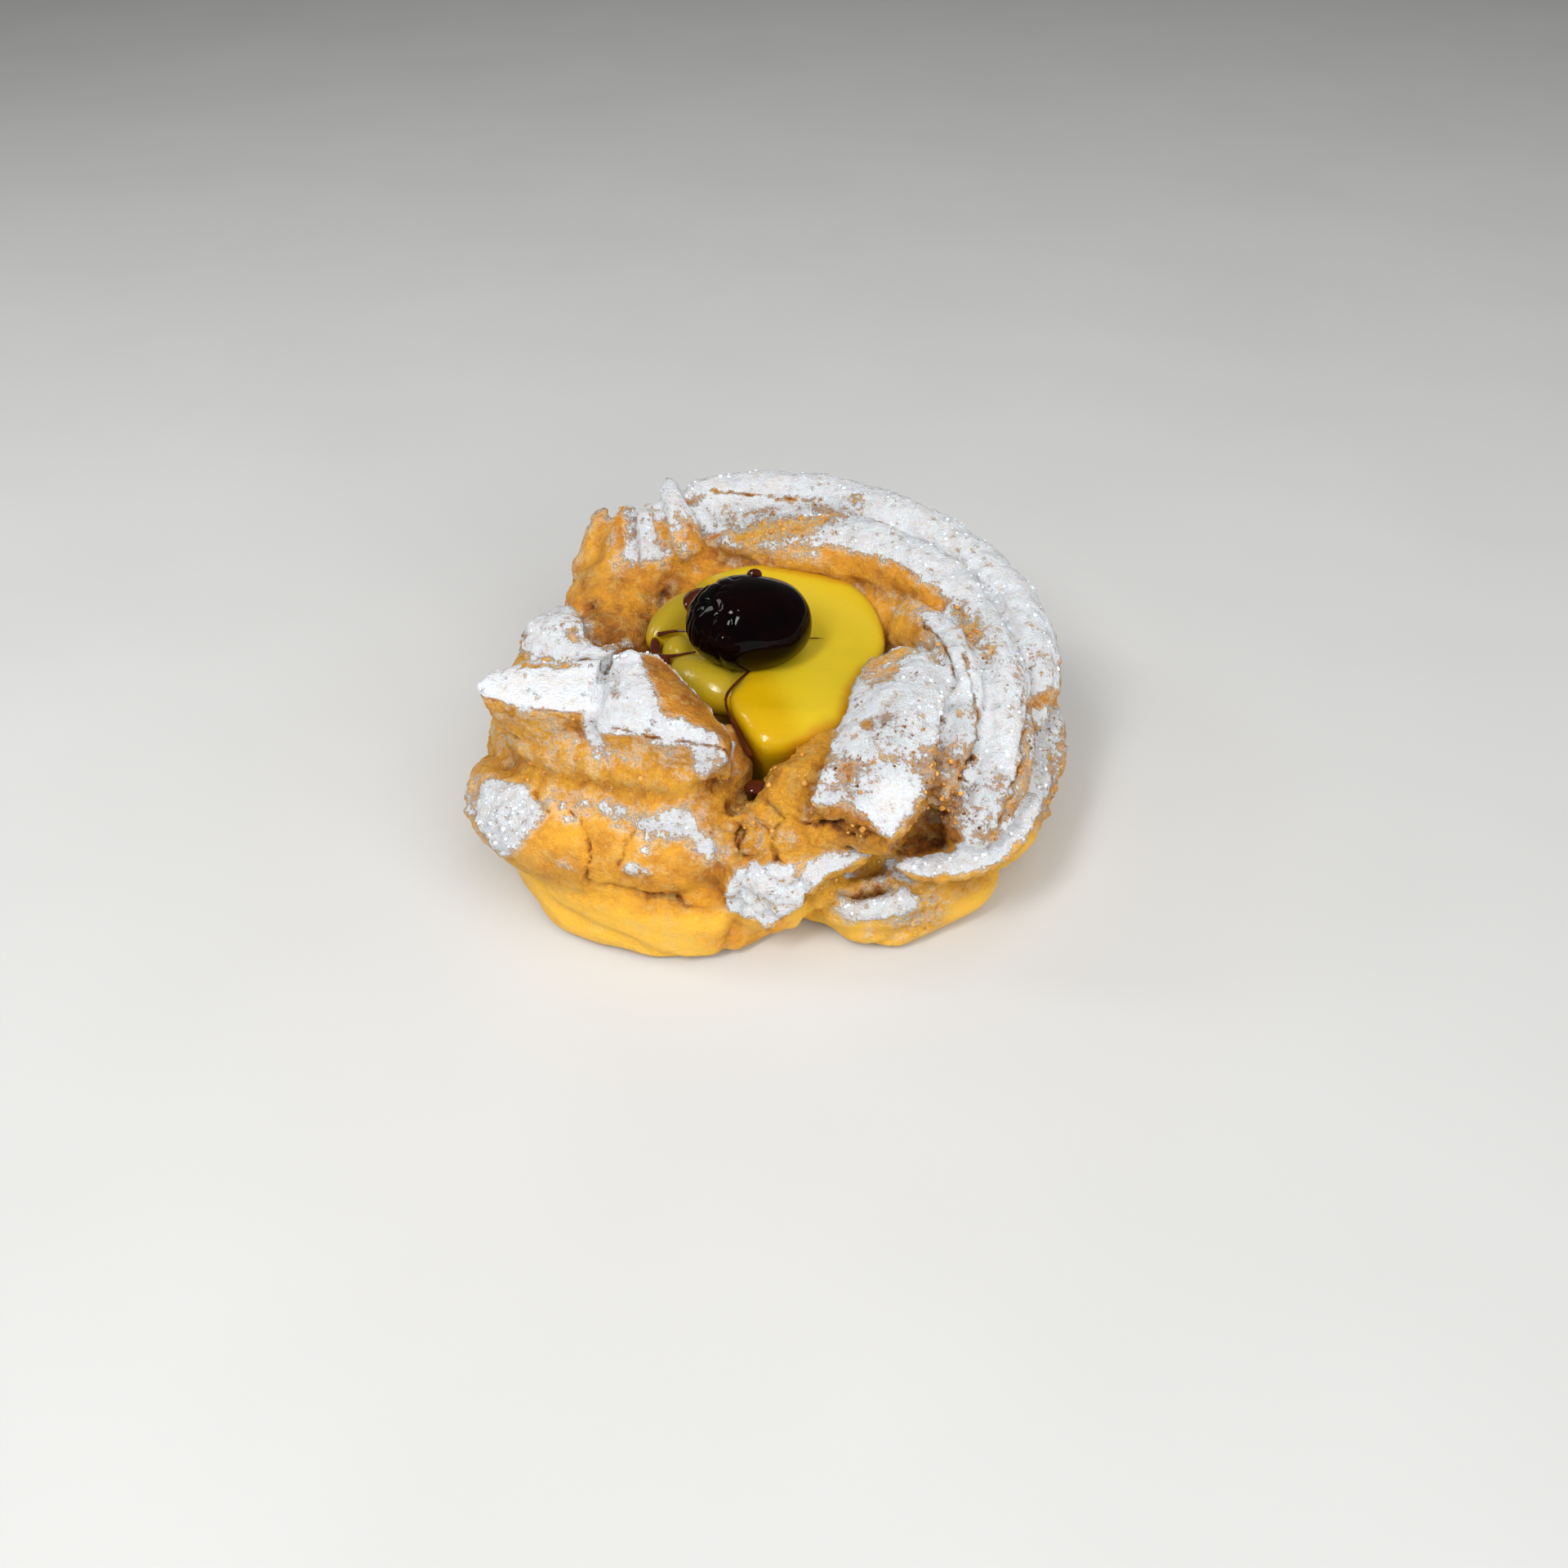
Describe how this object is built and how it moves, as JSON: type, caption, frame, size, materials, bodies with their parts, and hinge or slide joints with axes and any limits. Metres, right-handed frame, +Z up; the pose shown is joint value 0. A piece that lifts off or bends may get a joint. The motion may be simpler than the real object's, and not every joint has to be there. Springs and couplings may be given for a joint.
{
  "type": "zeppola",
  "caption": "Baked choux ring pastry, piped in fluted turns round a pool of custard, with one dark cherry in syrup on top and icing sugar over the flutes",
  "frame": {"origin": "on the surface that the pastry rests on, under the middle of its bounding box", "axes": "+Z up; the seam where the dough's ends meet is at the front, -Y; the left lobe with its star-shaped end looks to -X"},
  "size_m": [0.1019, 0.0927, 0.0473],
  "materials": {
    "choux": null,
    "custard": null,
    "cherry": null
  },
  "bodies": {
    "root": {"pastry": "choux", "custard": "custard", "cherry": "cherry"}
  },
  "joints": []
}
